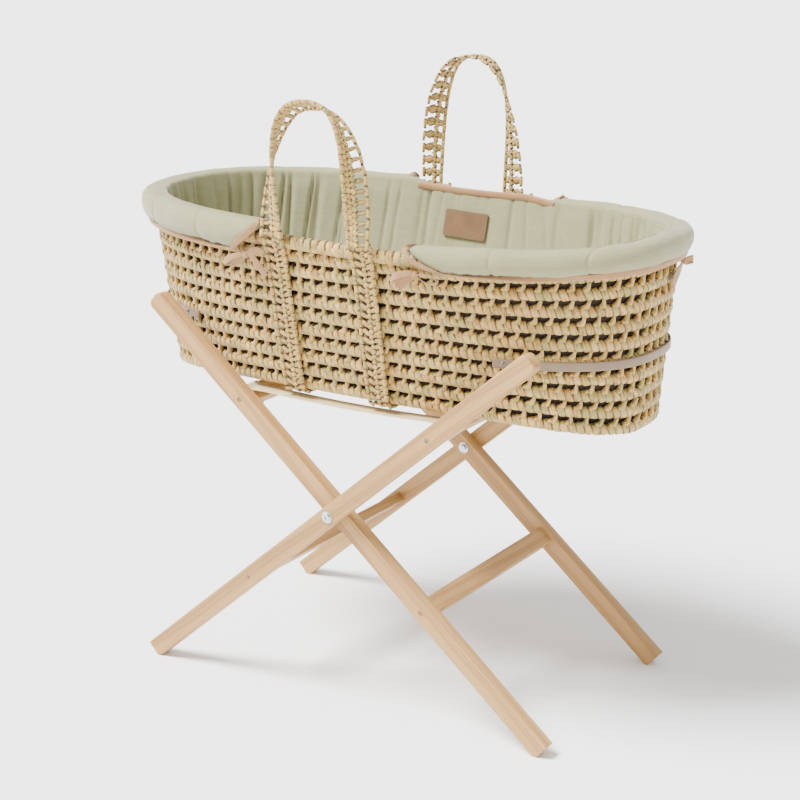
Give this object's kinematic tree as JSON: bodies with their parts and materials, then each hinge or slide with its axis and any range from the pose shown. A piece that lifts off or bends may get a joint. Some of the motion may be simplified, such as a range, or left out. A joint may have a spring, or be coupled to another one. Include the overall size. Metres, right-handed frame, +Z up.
{
  "type": "moses basket",
  "caption": "Oval woven palm-leaf moses basket with a quilted liner and carry handles, on a folding cross-leg pine stand.",
  "frame": {"origin": "on the floor, under the middle of the whole object's box", "axes": "+X along the basket towards its foot end, +Y towards the back, +Z up"},
  "size_m": [0.8611, 0.4776, 0.8979],
  "materials": {
    "pine": "bare planed pine",
    "zinc": "zinc plated",
    "brass_screw": "satin",
    "webbing": "woven cream webbing",
    "palm": "woven palm leaf",
    "fibreboard": "hard fibreboard",
    "sage_cotton": "quilted cotton",
    "white_cotton": "plain cotton",
    "foam": "foam",
    "beige_binding": "bias binding",
    "tan_patch": "smooth",
    "taupe_band": "soft imitation leather",
    "stud_metal": "antique"
  },
  "bodies": {
    "outer_frame": {"back_pivot_bolt": "zinc", "back_pivot_nut": "zinc", "back_pivot_washers": "zinc", "front_pivot_bolt": "zinc", "front_pivot_nut": "zinc", "front_pivot_washers": "zinc", "outer_leg_back": "pine", "outer_leg_front": "pine", "outer_lower_rail": "pine", "outer_rail_screws": "brass_screw", "outer_strap_tacks": "zinc", "outer_upper_rail": "pine", "webbing_strap_back": "webbing", "webbing_strap_front": "webbing"},
    "inner_frame": {"inner_leg_back": "pine", "inner_leg_front": "pine", "inner_lower_rail": "pine", "inner_rail_screws": "brass_screw", "inner_strap_tacks": "zinc", "inner_upper_rail": "pine"},
    "basket": {"back_foot_bow": "beige_binding", "back_head_bow": "beige_binding", "back_opening_binding": "beige_binding", "base_board": "fibreboard", "foot_band_studs": "stud_metal", "foot_cuff": "sage_cotton", "foot_cuff_binding": "beige_binding", "foot_end_band": "taupe_band", "foot_end_bow": "beige_binding", "front_foot_bow": "beige_binding", "front_head_bow": "beige_binding", "front_opening_binding": "beige_binding", "head_band_studs": "stud_metal", "head_cuff": "sage_cotton", "head_cuff_binding": "beige_binding", "head_end_band": "taupe_band", "left_carry_band": "palm", "liner_floor": "sage_cotton", "liner_patch": "tan_patch", "liner_wall": "sage_cotton", "mattress_core": "foam", "mattress_cover": "white_cotton", "right_carry_band": "palm", "rim_roll": "palm", "woven_shell": "palm"},
    "front_handle": {"front_handle": "palm"},
    "back_handle": {"back_handle": "palm"}
  },
  "joints": [
    {"name": "stand_fold", "type": "hinge", "parent": "outer_frame", "child": "inner_frame", "pos_m": [0, 0, 0.29194], "axis": [0, 1, 0], "range_deg": [0, 90], "deforming": ["webbing_strap_front", "webbing_strap_back"]},
    {"name": "basket_lift", "type": "slide", "parent": "outer_frame", "child": "basket", "axis": [0, 0, 1], "range_m": [0, 0.712]},
    {"name": "front_handle_swing", "type": "hinge", "parent": "basket", "child": "front_handle", "pos_m": [-0.003, -0.2205, 0.692], "axis": [1, 0, 0], "range_deg": [-40, 100]},
    {"name": "back_handle_swing", "type": "hinge", "parent": "basket", "child": "back_handle", "pos_m": [-0.02, 0.2205, 0.692], "axis": [1, 0, 0], "range_deg": [-100, 40]}
  ],
  "couplings": [
    {"joint": "basket_lift", "follows": "stand_fold", "m_per_rad": 0.45}
  ]
}
